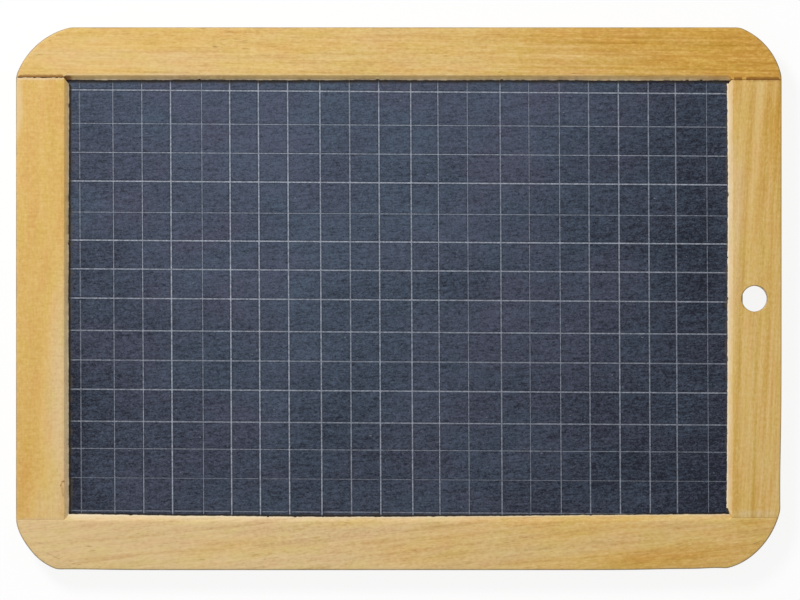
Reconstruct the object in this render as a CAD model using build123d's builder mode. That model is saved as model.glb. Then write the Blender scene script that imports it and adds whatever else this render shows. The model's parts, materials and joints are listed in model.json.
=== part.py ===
from build123d import *

import math
import os

# A framed school slate: a ruled slate panel held in the grooves of a four-piece wooden frame.
# It lies face up, X along the rails, Y along the stiles and Z out of the writing face.
# The origin is at the middle of the back, on the surface that the board lies on. Millimetres.

# The board
board_length = 256.0
board_height = 181.5

# The frame stock: all four members are run from one moulding
stock_width = 17.9
cheek_thickness = 2.6  # wood on each side of the groove
groove_depth = 5.0
bevel_width = 1.4  # slope along the inner arris, on both faces
bevel_depth = 1.2
ledge_width = 0.3  # raw flat lip between the slope and the slate
outer_ease = 0.5  # rounding of the outer arrises

# The corners, sawn by hand: how far each arc reaches along the rail and along the stile
top_left_reach = (18.2, 16.3)
top_right_reach = (14.1, 16.3)
bottom_right_reach = (18.3, 20.0)
bottom_left_reach = (13.6, 16.1)
corner_kink = 16.0  # degrees between an arc's ends and the straight edges, about the same at both
kink_round = 8.0  # sanding radius over that angle

# The bridle joints: a tenon on each end of a stile, in an open slot in the rail
tenon_clearance = 0.05  # on each cheek of a tenon
tenon_side_clearance = 0.1  # beside a tenon
shoulder_gap = 0.15  # between a stile's shoulder and the rail

# The hanging hole, in the middle of the right stile
hole_diameter = 8.6
hole_ease = 0.3

# The slate panel
slate_thickness = 3.0
slate_edge_bevel = 0.5
groove_clearance = 0.1  # on each face of the slate
slate_edge_gap = 0.8  # between the slate's edge and the bottom of the groove

# The ruling: squares scribed by a comb of points, once across and once down the slate
square_size = 10.0
ruling_depth = 0.12
sharp_line_width = 0.5
worn_line_width = 0.34
ruling_margin_left = 3.5  # from the edge of the visible slate to the comb's first point
ruling_margin_top = 3.55
ruling_tilt_down = 0.3  # degrees that each set of lines leans
ruling_tilt_across = -0.35
# How far each point of the comb is set off its square, and which points are worn
point_offsets = (
    0.0, 1.2, 0.9, 0.5, 0.9, 0.3, -0.1, -0.3, 0.5, 0.4, 0.2,
    0.9, 0.0, -0.2, 0.8, 0.4, 0.6, 0.4, 0.4, 0.4, -0.5, -0.1,
)
worn_points = (1, 2, 4, 12, 13, 15, 16, 21)

# Worked out from the above
half_length = board_length / 2
half_height = board_height / 2
groove_width = slate_thickness + 2 * groove_clearance
frame_thickness = 2 * cheek_thickness + groove_width
mid_plane = frame_thickness / 2
sight_half_length = half_length - stock_width
sight_half_height = half_height - stock_width
tenon_thickness = groove_width - 2 * tenon_clearance
tenon_width = stock_width - groove_depth
slate_front = mid_plane + slate_thickness / 2
slate_reach = groove_depth - slate_edge_gap
slate_length = 2 * (sight_half_length + slate_reach)
slate_height = 2 * (sight_half_height + slate_reach)


def corner_ends(side_x, side_y, reach):
    """The two ends of a corner's arc, in clockwise order: one on the rail, one on the stile."""
    along, down = reach
    on_rail = (side_x * (half_length - along), side_y * half_height)
    on_stile = (side_x * half_length, side_y * (half_height - down))
    return (on_rail, on_stile) if side_x == side_y else (on_stile, on_rail)


def corner_radius(reach):
    """A corner's arc turns by what the two kinks leave of a right angle, over its chord."""
    turn = math.radians(90 - 2 * corner_kink)
    return math.hypot(*reach) / 2 / math.sin(turn / 2)


def board_blank():
    """The whole board's outline at full thickness, with its corners sawn and its arrises eased."""
    reaches = (top_left_reach, top_right_reach, bottom_right_reach, bottom_left_reach)
    sides = ((-1, 1), (1, 1), (1, -1), (-1, -1))
    arcs = [corner_ends(*side, reach) for side, reach in zip(sides, reaches)]
    with BuildPart() as blank:
        with BuildSketch():
            with BuildLine():
                for (start, end), reach in zip(arcs, reaches):
                    RadiusArc(start, end, corner_radius(reach))
                for (_, end), (start, _) in zip(arcs, arcs[1:] + arcs[:1]):
                    Line(end, start)
            make_face()
        extrude(amount=frame_thickness)
        fillet(blank.edges().filter_by(Axis.Z), kink_round)
        levels = blank.edges().group_by(Axis.Z)
        fillet(levels[0] + levels[-1], outer_ease)
    return blank


def section_points():
    """One member's section: distance out from its inner edge, and height above the back."""
    groove_half = groove_width / 2
    front_half = (
        (groove_depth, groove_half),
        (0, groove_half),
        (0, mid_plane - bevel_depth),
        (ledge_width, mid_plane - bevel_depth),
        (ledge_width + bevel_width, mid_plane),
        (stock_width, mid_plane),
    )
    front = [(out, mid_plane + rise) for out, rise in front_half]
    back = [(out, mid_plane - rise) for out, rise in reversed(front_half)]
    return front + back


def stock_section(base, inner_edge, length):
    """The moulding's section, at the start of a length along X whose inner edge is out along Y."""
    start = base.origin + base.y_dir * inner_edge - base.x_dir * length / 2
    with BuildSketch(Plane(start, x_dir=base.y_dir, z_dir=base.x_dir)) as section:
        with BuildLine():
            Polyline(*section_points(), close=True)
        make_face()
    return section.sketch


def make_rail(turn, blank):
    """A rail runs the board's full length. Its groove opens into a slot at each end."""
    base = Plane.XY.rotated((0, 0, turn))
    slot_length = tenon_width + tenon_side_clearance
    slot_middle = half_length - slot_length / 2
    rail_middle = half_height - stock_width / 2
    with BuildPart() as rail:
        extrude(stock_section(base, sight_half_height, board_length), amount=board_length)
        with BuildSketch(base.offset(mid_plane - groove_width / 2)):
            with Locations((slot_middle, rail_middle), (-slot_middle, rail_middle)):
                Rectangle(slot_length, stock_width)
        extrude(amount=groove_width, mode=Mode.SUBTRACT)
        add(blank.part, mode=Mode.INTERSECT)
    return rail


def shoulder_cuts(base):
    """What is cut off a stile's cheeks, from the side, to leave a tenon on each end.

    The coped shoulders follow the rail's lip and slope, and stand off them by the shoulder gap.
    """
    shoulder = sight_half_height - shoulder_gap
    slope_foot = shoulder + ledge_width
    slope_top = slope_foot + bevel_width
    end = half_height + stock_width
    lip = mid_plane - bevel_depth
    over = mid_plane + cheek_thickness
    cheek_points = (
        (shoulder, tenon_thickness / 2),
        (shoulder, lip),
        (slope_foot, lip),
        (slope_top, mid_plane),
        (slope_top, over),
        (end, over),
        (end, tenon_thickness / 2),
    )
    with BuildSketch(Plane(base.origin, x_dir=base.x_dir, z_dir=-base.y_dir)) as cuts:
        for along in (1, -1):
            for face in (1, -1):
                with BuildLine():
                    Polyline(
                        *((along * x, mid_plane + face * z) for x, z in cheek_points),
                        close=True,
                    )
                make_face()
    return cuts.sketch


def make_stile(turn, blank):
    """A stile runs between the rails, with a tenon through each of them."""
    base = Plane.XY.rotated((0, 0, turn))
    with BuildPart() as stile:
        extrude(stock_section(base, sight_half_length, board_height), amount=board_height)
        extrude(shoulder_cuts(base), amount=board_length, both=True, mode=Mode.SUBTRACT)
        add(blank.part, mode=Mode.INTERSECT)
    return stile


def make_holed_stile(turn, blank):
    """A stile with the hanging hole in the middle of its face, its rims eased."""
    plain = make_stile(turn, blank)
    base = Plane.XY.rotated((0, 0, turn))
    with BuildPart() as stile:
        add(plain.part)
        with Locations(base.from_local_coords((0, half_length - stock_width / 2, frame_thickness))):
            Hole(radius=hole_diameter / 2)
        chamfer(stile.edges(Select.LAST).filter_by(GeomType.CIRCLE), hole_ease)
    return stile


def ruling_places(sight, margin):
    """Where the comb's points fall along one side of the visible slate, in two groups by width."""
    groups = {sharp_line_width: [], worn_line_width: []}
    for point in range(int((sight - margin) / square_size) + 1):
        tooth = point % len(point_offsets)
        width = worn_line_width if tooth in worn_points else sharp_line_width
        groups[width].append(margin + point * square_size + point_offsets[tooth])
    return groups


def make_slate():
    """The slate panel, with its edges dressed to a bevel and its front scribed in squares."""
    down = ruling_places(2 * sight_half_length, ruling_margin_left)
    across = ruling_places(2 * sight_half_height, ruling_margin_top)
    line_run = slate_length + slate_height
    with BuildPart() as slate:
        with BuildSketch(Plane.XY.offset(slate_front - slate_thickness)):
            Rectangle(slate_length, slate_height)
        extrude(amount=slate_thickness)
        levels = slate.edges().group_by(Axis.Z)
        chamfer(levels[0] + levels[-1], slate_edge_bevel)
        with BuildSketch(Plane.XY.offset(slate_front)):
            for width, places in down.items():
                with Locations(*((place - sight_half_length, 0) for place in places)):
                    Rectangle(width, line_run, rotation=ruling_tilt_down)
            for width, places in across.items():
                with Locations(*((0, sight_half_height - place) for place in places)):
                    Rectangle(line_run, width, rotation=ruling_tilt_across)
        extrude(amount=-ruling_depth, mode=Mode.SUBTRACT)
    return slate


whole_board = board_blank()
pieces = {
    "top_rail": make_rail(0, whole_board),
    "bottom_rail": make_rail(180, whole_board),
    "left_stile": make_stile(90, whole_board),
    "right_stile": make_holed_stile(-90, whole_board),
    "slate": make_slate(),
}
os.makedirs("parts", exist_ok=True)
for name, piece in pieces.items():
    piece.part.label = name
    export_step(piece.part, f"parts/{name}.step")
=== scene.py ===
import json
import math
from collections import namedtuple

import bmesh
import bpy
import numpy as np
from bpy.props import FloatProperty, FloatVectorProperty, IntProperty, PointerProperty
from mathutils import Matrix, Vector


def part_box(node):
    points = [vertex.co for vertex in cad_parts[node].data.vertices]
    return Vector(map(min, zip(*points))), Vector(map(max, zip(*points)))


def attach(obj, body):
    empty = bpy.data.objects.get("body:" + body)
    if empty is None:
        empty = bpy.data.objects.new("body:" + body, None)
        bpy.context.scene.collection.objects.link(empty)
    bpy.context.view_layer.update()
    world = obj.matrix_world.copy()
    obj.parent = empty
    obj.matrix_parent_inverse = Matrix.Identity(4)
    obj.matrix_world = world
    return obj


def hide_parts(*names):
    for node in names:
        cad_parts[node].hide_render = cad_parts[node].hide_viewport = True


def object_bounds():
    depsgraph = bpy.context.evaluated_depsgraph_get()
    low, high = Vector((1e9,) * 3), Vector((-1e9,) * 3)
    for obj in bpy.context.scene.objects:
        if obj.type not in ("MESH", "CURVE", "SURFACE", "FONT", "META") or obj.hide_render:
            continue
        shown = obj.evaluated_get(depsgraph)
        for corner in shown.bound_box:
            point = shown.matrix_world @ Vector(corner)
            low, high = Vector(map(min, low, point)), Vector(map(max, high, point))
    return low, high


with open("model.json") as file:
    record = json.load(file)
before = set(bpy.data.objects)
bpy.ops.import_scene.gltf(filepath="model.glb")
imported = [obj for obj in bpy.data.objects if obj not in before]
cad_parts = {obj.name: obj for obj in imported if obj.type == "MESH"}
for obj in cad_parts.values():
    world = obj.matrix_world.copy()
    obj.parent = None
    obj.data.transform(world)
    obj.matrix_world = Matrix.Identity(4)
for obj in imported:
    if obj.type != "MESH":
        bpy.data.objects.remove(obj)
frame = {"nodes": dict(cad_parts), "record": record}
CAD_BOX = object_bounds()

bl_info = {
    "name": "Framed school slate",
    "version": (1, 0, 0),
    "blender": (4, 5, 0),
    "location": "View3D > Sidebar > Slate",
    "description": "Dresses a ruled slate in its varnished softwood frame, and sets its stage",
    "category": "Object",
}

MM = 0.001

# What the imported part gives: the board's half sizes, the moulding's width, the slate and the hole
HALF_LENGTH = CAD_BOX[1].x
HALF_HEIGHT = CAD_BOX[1].y
THICKNESS = CAD_BOX[1].z
STOCK_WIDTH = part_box("top_rail")[1].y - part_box("top_rail")[0].y
SIGHT_LENGTH = HALF_LENGTH - STOCK_WIDTH
SIGHT_HEIGHT = HALF_HEIGHT - STOCK_WIDTH
SLATE_LOW, SLATE_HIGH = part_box("slate")
HOLE = next(m for m in frame["record"]["mounts"] if m["name"] == "hanging_hole")
HOLE_RADIUS = HOLE["dims"]["r_mm"] * MM

# The four corner joints, in millimetres: how high the stile's shoulder stands over the rail's lip,
# the gap under the rail, how ragged the shoulder is, how much of the stile's inner corner has broken
# off and over what width; then how bare the stile's end is, how stained the rail's edge is, where
# along it that stain breaks off (0 for nowhere) and how dirty its slope's end is
Joint = namedtuple("Joint", "lap gap ragged chip broad bare stained parted smudge")
JOINTS = {
    "top_left": Joint(1.3, 0.15, 0.25, 1.75, 2.1, 0.5, 0.8, 0.0, 0.8),
    "top_right": Joint(0.4, 0.1, 0.05, 1.2, 1.3, 0.0, 1.1, 5.4, 0.0),
    "bottom_left": Joint(1.05, 0.06, 0.03, 0.0, 1.0, 0.2, 0.12, 0.0, 0.0),
    "bottom_right": Joint(0.4, 0.06, 0.03, 3.2, 1.2, 0.1, 0.1, 0.0, 0.0),
}

# The four members. turn: about Z, from the top rail's place to its own; joints: at the low and the
# high end of its own length; bare: how bare its arris, its slope's top, its slope's foot and its lip
# are at either end; torn: how deeply its lip is torn; bow: how far out the lip has bowed at even
# places, in millimetres; handled: how strong the painted shade on its outer edge is;
# soiled: how strong the painted shade along its lip's edge is, where the slate goes in under it
Member = namedtuple("Member", "turn joints bare torn bow handled soiled")
RAILS = {
    "top_rail": Member(
        turn=0.0,
        joints=("top_left", "top_right"),
        bare=((0.3, 0.05, 0.3, 0.6), (0.1, 0.1, 0.35, 0.6)),
        torn=1.3,
        bow=(0.38, 0.33, 0.28, 0.26, 0.15),
        handled=1.0,
        soiled=0.0,
    ),
    "bottom_rail": Member(
        turn=math.pi,
        joints=("bottom_right", "bottom_left"),
        bare=((0.0, 0.0, 0.1, 0.6), (0.0, 0.1, 0.45, 1.2)),
        torn=1.2,
        bow=(-0.85, -0.6, -0.25, 0.03, 0.0, -0.4, -0.9),
        handled=1.0,
        soiled=1.1,
    ),
}
STILES = {
    "left_stile": Member(
        turn=math.pi / 2,
        joints=("bottom_left", "top_left"),
        bare=((0.0, 0.1, 0.5, 0.9), (0.0, 0.05, 0.35, 0.75)),
        torn=1.0,
        bow=(0.2, 0.35, 0.38, 0.27, 0.12),
        handled=1.0,
        soiled=0.8,
    ),
    "right_stile": Member(
        turn=-math.pi / 2,
        joints=("top_right", "bottom_right"),
        bare=((0.0, 0.3, 0.55, 1.0), (0.0, 0.15, 0.5, 1.0)),
        torn=1.2,
        bow=(-0.25, 0.0, -0.13, -0.2, -0.5),
        handled=0.75,
        soiled=0.35,
    ),
}

# How pale each scribed line is: those that run down, from the left, and those across, from the bottom
PALE_DOWN = (
    0.39, 0.69, 0.86, 1.00, 0.60, 0.97, 0.97, 0.95, 0.85, 0.66, 0.85,
    0.79, 0.89, 0.60, 0.61, 0.48, 0.69, 0.59, 0.77, 0.66, 0.64, 0.49,
)
PALE_ACROSS = (
    0.41, 0.39, 0.58, 0.64, 0.75, 0.54, 0.71, 0.81,
    0.81, 1.00, 0.61, 0.99, 0.86, 0.71, 0.88,
)

# Places where the board's edge has been sanded in: middle, reach and depth in millimetres
SANDED = (
    (128, -64, 20, 0.44), (95, -90.75, 14, 0.36), (107, -90.75, 6, 0.5),
    (-110, -90.75, 14, 0.25), (-126, -84, 5, 0.3),
)

# The picture: its width at the board's face, the point under its middle, and the camera's height
PHOTO_SCALE = 2.991 / MM
PICTURE_WIDTH = 800 / PHOTO_SCALE
PICTURE_CENTRE = (0.40 * MM, -0.43 * MM)
CAMERA_HEIGHT = 2.5

# The light: an even fill from all round, and a window's place, breadth and power
FILL_LIGHT = 0.44
WINDOW_PLACE = (-0.55, 0.68, 0.8)
WINDOW_BREADTH = 0.35
WINDOW_POWER = 11.4

# The floor: half its side, and how much of what the eye sees of it is plain white
FLOOR_REACH = 30.0
FLOOR_WHITE = 0.89
WHITE = (1.0, 1.0, 1.0)

# What the varnish and the honed slate set on their shaders, and how deep their fine relief is
VARNISH = {"Specular IOR Level": 0.2, "Coat Weight": 0.04, "Coat Roughness": 0.3}
HONED_STONE = {"Specular IOR Level": 0.12}
FINE_RELIEF = 0.03 * MM


def srgb(red, green, blue):
    """A colour given in display steps of 255, as linear light."""
    steps = np.array([red, green, blue]) / 255
    light = np.where(steps <= 0.04045, steps / 12.92, ((steps + 0.055) / 1.055) ** 2.4)
    return tuple(float(x) for x in light)


def length(name, description, default):
    """A size that a user may change."""
    return FloatProperty(
        name=name, description=description, default=default, unit="LENGTH", precision=5
    )


def colour(name, description, default):
    """A colour that a user may change."""
    return FloatVectorProperty(
        name=name, description=description, default=default, subtype="COLOR", min=0, max=1
    )


class SlateBoardSizes(bpy.types.PropertyGroup):
    """Sizes of the frame's moulding, its corners and joints, and of the slate's ruling."""

    bevel_width: length("Bevel width", "Slope along the inner arris", 1.4 * MM)
    bevel_depth: length("Bevel depth", "How far the slope drops below the face", 1.2 * MM)
    ledge_width: length("Lip width", "Raw lip between the slope and the slate", 0.3 * MM)
    lip_fall: length("Lip fall", "How far the worn lip slopes down to its edge", 0.28 * MM)
    outer_ease: length("Outer ease", "Rounding of the outer arrises", 0.5 * MM)
    groove_depth: length("Groove depth", "Depth of the groove that holds the slate", 5.0 * MM)
    groove_clearance: length("Groove clearance", "Room over each face of the slate", 0.1 * MM)
    hole_ease: length("Hole ease", "Chamfer round the hanging hole", 0.3 * MM)
    reach_along: FloatVectorProperty(
        name="Reach along the rails",
        description="How far the top right, top left, bottom left and bottom right arcs run along them",
        size=4,
        default=(14.1 * MM, 18.2 * MM, 13.6 * MM, 18.3 * MM),
        unit="LENGTH",
    )
    reach_down: FloatVectorProperty(
        name="Reach along the stiles",
        description="How far the same four arcs run along the stiles",
        size=4,
        default=(16.3 * MM, 16.3 * MM, 16.1 * MM, 20.0 * MM),
        unit="LENGTH",
    )
    corner_kink: FloatProperty(
        name="Corner kink",
        description="Angle between an arc's ends and the straight edges",
        default=math.radians(16),
        subtype="ANGLE",
    )
    torn_lip: length("Torn lip", "How far the raw lip is torn back", 0.24 * MM)
    ruling_depth: length("Ruling depth", "Depth of the scribed lines", 0.12 * MM)
    slate_relief: length("Slate relief", "Height of the slate's cleavage waves", 0.04 * MM)
    seed: IntProperty(name="Seed", description="Start of the random wear", default=11)


class SlateBoardColours(bpy.types.PropertyGroup):
    """Colours of the wood, the slate and the stage."""

    pale_wood: colour("Pale wood", "Sapwood under thin varnish", srgb(214, 185, 134))
    golden_wood: colour("Golden wood", "Wood under its usual varnish", srgb(213, 176, 103))
    warm_wood: colour("Warm wood", "Wood where the varnish is deepest", srgb(198, 150, 62))
    late_wood: colour("Late wood", "The dark side of each growth ring", srgb(160, 108, 46))
    late_line: colour("Late lines", "What the plainest rings let through", (0.85, 0.8, 0.5))
    early_wood: colour("Early wood", "The light side of each growth ring", srgb(240, 214, 160))
    bright_wood: colour("Bright wood", "The same side under the deepest varnish", srgb(246, 208, 122))
    fleck: colour("Flecks", "Short brown marks along the grain", srgb(140, 92, 40))
    grime: colour("Grime", "Dirt in the joints", srgb(132, 82, 22))
    # The painted shade on the outer edges, along the lips and down the hanging hole takes this colour
    handled: colour("Handled edges", "Grey dirt on the outer arrises", srgb(132, 118, 88))
    # Painted shade in the gap where the slate goes in under the bottom lip
    gap: colour("Gap", "Dark dirt where the slate goes in under the bottom lip", srgb(34, 29, 26))
    worn_wood: colour("Worn wood", "Wood that has lost its varnish", srgb(218, 190, 138))
    bare_wood: colour("Bare wood", "Torn lips and shoulders", srgb(234, 218, 190))
    end_wood: colour("End grain", "Sawn ends under varnish", srgb(190, 146, 84))
    dark_slate: colour("Dark slate", "Clean slate", srgb(23, 26, 37))
    # Teal and plum slate show where the wiped chalk and the painted sheen are strongest
    teal_slate: colour("Teal slate", "Slate with wiped chalk in it", srgb(78, 90, 108))
    plum_slate: colour("Plum slate", "Redder slate with wiped chalk in it", srgb(82, 87, 106))
    scribed: colour("Scribed lines", "Bruised stone in the ruling", srgb(164, 170, 182))
    dust: colour("Dust", "Brown dust on the slate along its frame", srgb(84, 74, 60))
    floor: colour("Floor", "Plain pale floor", (0.9, 0.9, 0.9))


def value_noise(places, spacing, seed):
    """Smooth noise from -1 to 1: random knots at the spacing, eased with 3f^2 - 2f^3 between."""
    knot_count = 4096
    knots = np.random.default_rng(seed).uniform(-1, 1, knot_count)
    cell = places / spacing
    base = np.floor(cell).astype(int)
    ease = (cell - base) ** 2 * (3 - 2 * (cell - base))
    return knots[base % knot_count] * (1 - ease) + knots[(base + 1) % knot_count] * ease


def fractal_noise(places, spacing, octaves, seed):
    """Value noise added up over octaves, each half as wide and half as strong."""
    parts = [value_noise(places, spacing / 2**o, seed + o) / 2**o for o in range(octaves)]
    return np.sum(parts, axis=0)


def corner_arc(side, reach_along, reach_down, kink, steps):
    """Points of one sawn corner, from the rail's edge to the stile's.

    The arc turns by a right angle less two kinks, so its radius is half its chord over the sine
    of half that turn, and its centre lies on the chord's middle line towards the board.
    """
    side = np.array(side, float)
    on_rail = side * (HALF_LENGTH - reach_along, HALF_HEIGHT)
    on_stile = side * (HALF_LENGTH, HALF_HEIGHT - reach_down)
    chord = on_stile - on_rail
    half_turn = math.pi / 4 - kink
    radius = np.hypot(*chord) / 2 / math.sin(half_turn)
    inward = np.array([-chord[1], chord[0]]) / np.hypot(*chord)
    inward *= -np.sign(inward @ side)
    centre = (on_rail + on_stile) / 2 + inward * radius * math.cos(half_turn)
    across = np.linspace(-half_turn, half_turn, steps)[:, None]
    return centre - inward * radius * np.cos(across) + chord / np.hypot(*chord) * radius * np.sin(across)


def outward_normals(points):
    """The outward normals of a closed, counter-clockwise row of points."""
    along = np.roll(points, -1, axis=0) - np.roll(points, 1, axis=0)
    along /= np.hypot(*along.T)[:, None]
    return np.stack([along[:, 1], -along[:, 0]], axis=1)


def board_outline(sizes):
    """The board's whole outline, counter-clockwise, as evenly spaced points and outward normals.

    Four arcs joined by straight edges, laid out again by arc length, with the kinks sanded over
    by a running mean. Each sanded place presses the edge in by its depth times exp(-(d/reach)^2).
    """
    points_wanted, arc_steps, sanding = 4000, 60, 6
    sides = ((1, 1), (-1, 1), (-1, -1), (1, -1))
    arcs = [
        corner_arc(side, along, down, sizes.corner_kink, arc_steps)
        for side, along, down in zip(sides, sizes.reach_along, sizes.reach_down)
    ]
    corners = np.concatenate([arcs[0][::-1], arcs[1], arcs[2][::-1], arcs[3]])
    corners = np.concatenate([corners, corners[:1]])
    run = np.concatenate([[0], np.cumsum(np.hypot(*np.diff(corners, axis=0).T))])
    even = np.linspace(0, run[-1], points_wanted, endpoint=False)
    points = np.stack([np.interp(even, run, corners[:, i]) for i in (0, 1)], axis=1)
    points = np.mean([np.roll(points, o, axis=0) for o in range(-sanding, sanding + 1)], axis=0)
    normals = outward_normals(points)
    for x, y, reach, depth in SANDED:
        away = np.hypot(*(points - (x * MM, y * MM)).T) / (reach * MM)
        points = points - normals * depth * MM * np.exp(-(away**2))[:, None]
    return points, outward_normals(points)


def local_outline(sizes, turn, inner_edge):
    """The outline in a member's own frame: s along it, t out from its inner edge, and normals."""
    points, normals = board_outline(sizes)
    turned = np.array([[math.cos(turn), -math.sin(turn)], [math.sin(turn), math.cos(turn)]])
    return points @ turned - (0, inner_edge), normals @ turned


def moulding_profile(sizes):
    """The front half of the moulding's section, as columns of stations from the face to the groove.

    Each side of a member has the same stations: along its inner edge as distance out from the
    lip, along its outer edge as distance in from the outline, and at a stile's shoulder as
    distance over the rail's lip. Every station also has its height.
    """
    step = sizes.ledge_width + sizes.bevel_width
    slope = sizes.bevel_depth / sizes.bevel_width
    ease, rim, soft = sizes.outer_ease, 1.2 * MM, 0.08 * MM
    groove = THICKNESS - SLATE_HIGH.z - sizes.groove_clearance
    drop = sizes.bevel_depth
    round_over = [(ease * (1 - math.sin(a)), ease * (1 - math.cos(a))) for a in np.radians([30, 60])]
    inner = [
        (step + rim, 0),
        (step + soft, 0),
        (step, 0.3 * soft),
        (step - soft, soft * slope),
        (sizes.ledge_width + soft, drop - soft * slope),
        (sizes.ledge_width, drop),
        (sizes.ledge_width / 2, drop + 0.4 * sizes.lip_fall),
        (0, drop + sizes.lip_fall),
        (0, groove),
        (sizes.groove_depth, groove),
    ]
    outer = [(rim, 0), (ease, 0), *round_over, (0, ease)]
    outer += [(0, ease + (groove - ease) * share) for share in (0.25, 0.5, 0.75, 1, 1)]
    shoulder = [(step - rim, 0), (step - 2 * soft, 0), (step, 0.6 * soft)] + inner[3:8]
    shoulder += [(0, groove), (-4 * soft, groove)]
    return tuple(np.array(side) for side in (inner, outer, shoulder))


def both_faces(front):
    """A column of values at the front stations and, mirrored, at the back ones."""
    return np.concatenate([front, front[::-1]])[:, None]


def both_heights(drops):
    """A column of the heights of the front stations, then of the back ones."""
    return np.concatenate([THICKNESS - drops, drops[::-1]])[:, None]


# Stations of the moulding profile by number, in its front half, and the layer of its groove
STATIONS = 10
STATION = np.arange(STATIONS)
ARRIS, SLOPE_FOOT, LIP_BOTTOM, GROOVE_ROOT = 2, 5, 8, 9
GROOVE_LAYER = slice(GROOVE_ROOT, GROOVE_ROOT + 2)

# A member as stations by path points, with the middle line of its faces, its marks of wear and its
# painted shade
Stations = namedtuple("Stations", "s t z middle marks angles sides")


def torn_edge(places, depth, seed):
    """How far a raw lip is torn back along its length: fine fibres with a few deeper nicks."""
    fibre_spacing, sag_spacing, nick_spacing, nick_level = 1.1 * MM, 14 * MM, 2.3 * MM, 0.82
    fibres = 0.5 + 0.5 * fractal_noise(places, fibre_spacing, 3, seed)
    sags = 0.5 + 0.5 * fractal_noise(places, sag_spacing, 2, seed + 20)
    nicks = np.clip(value_noise(places, nick_spacing, seed + 40) - nick_level, 0, 1) / (1 - nick_level)
    return depth * (0.55 * fibres + 0.45 * sags + 1.2 * nicks - 0.35)


def ease_between(values, low, high):
    """A smooth step from 0 at low to 1 at high."""
    share = np.clip((values - low) / (high - low), 0, 1)
    return share**2 * (3 - 2 * share)


def lip_wear(places, sizes, member, reach, seed):
    """What bowing and tearing add to the inner distance at each station's places, front and back.

    The lip moves in full, the slope and its arris only in part.
    """
    bowed = both_faces(np.array([0, 0.4, 0.45, 0.5, 0.9, 1, 1, 1, 1, 0]))
    torn = both_faces(np.array([0, 0, 0, 0, 0.1, 0.3, 0.6, 1, 0.8, 0]))
    bow = np.interp(places, np.linspace(-reach, reach, len(member.bow)), np.array(member.bow) * MM)
    depth = sizes.torn_lip * member.torn
    front = torn_edge(places[:STATIONS], depth, seed)
    back = torn_edge(places[STATIONS:], depth, seed + 70)
    return bowed * bow + torn * np.concatenate([front, back])


def bare_moulding(bare, places, reach):
    """How bare the wood is along an inner edge, from its arris to its lip, between its two ends."""
    low, high = (
        both_faces(np.array([0, arris, arris, top, foot, lip, lip, lip, lip, lip]))
        for arris, top, foot, lip in bare
    )
    return low + (high - low) * ease_between(places, -reach, reach)


def lapped(column, lap, sizes):
    """An inner or shoulder column at a joint, where the face runs on over the slope to the lap."""
    step = sizes.ledge_width + sizes.bevel_width
    slope = np.where(STATION < LIP_BOTTOM, np.minimum(column, lap), column)
    return np.where(STATION <= ARRIS, column - step + lap, slope)


def joint_stain(out, joint):
    """How stained a joint's line is at distances out from the sight's edge, in millimetres below."""
    stain_starts, stain_is_full = 1.8, 2.3
    break_is_clean, break_ends = 0.5, 0.85
    stain = joint.stained * ease_between(out / MM, stain_starts, stain_is_full)
    if joint.parted:
        stain = stain * ease_between(np.abs(out / MM - joint.parted), break_is_clean, break_ends)
    return stain


def at_end(s, low, high):
    """One value for places on a member's low half and another for those on its high half."""
    return np.where(s > 0, high, low)


# How strong the painted shade is at each station on an outer edge, and along a lip's edge where
# the slate goes in under it
RIM_SHADE_AT_STATIONS = both_faces(np.array([0, 0.15, 0.6, 1, 1, 0.7, 0.4, 0.2, 0.2, 0.2]))
LIP_SHADE_AT_STATIONS = both_faces(np.array([0, 0, 0, 0, 0, 0, 0.6, 1, 1, 1]))

# How dark the dirt is in a tenon's seam at the rail's end, and at a stile's shoulder
SEAM_DIRT = 0.8
SHOULDER_DIRT = 0.3

# How much a tenon's end falls short of the board's outline
TENON_SHORT = 0.1 * MM

# How strong the painted shade in the hanging hole is at each step from its front rim down its wall
# to its back rim
HOLE_SHADE = np.array([0.1, 0.9, 0.6, 0.4, 0.4, 0.4, 0.4, 0])[:, None]

# How close points are merged, and edges dropped, once a piece's grids are in one mesh
MERGE_REACH = 0.002 * MM
DROP_REACH = 0.001 * MM

# The angles between faces past which an edge is shaded as sharp
WOOD_SHARP = math.radians(32)
SLATE_SHARP = math.radians(15)

# What is added to the user's seed: from one member to the next, for the stiles and for the slate
SEED_STEP, STILE_SEED, SLATE_SEED = 100, 50, 300


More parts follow.
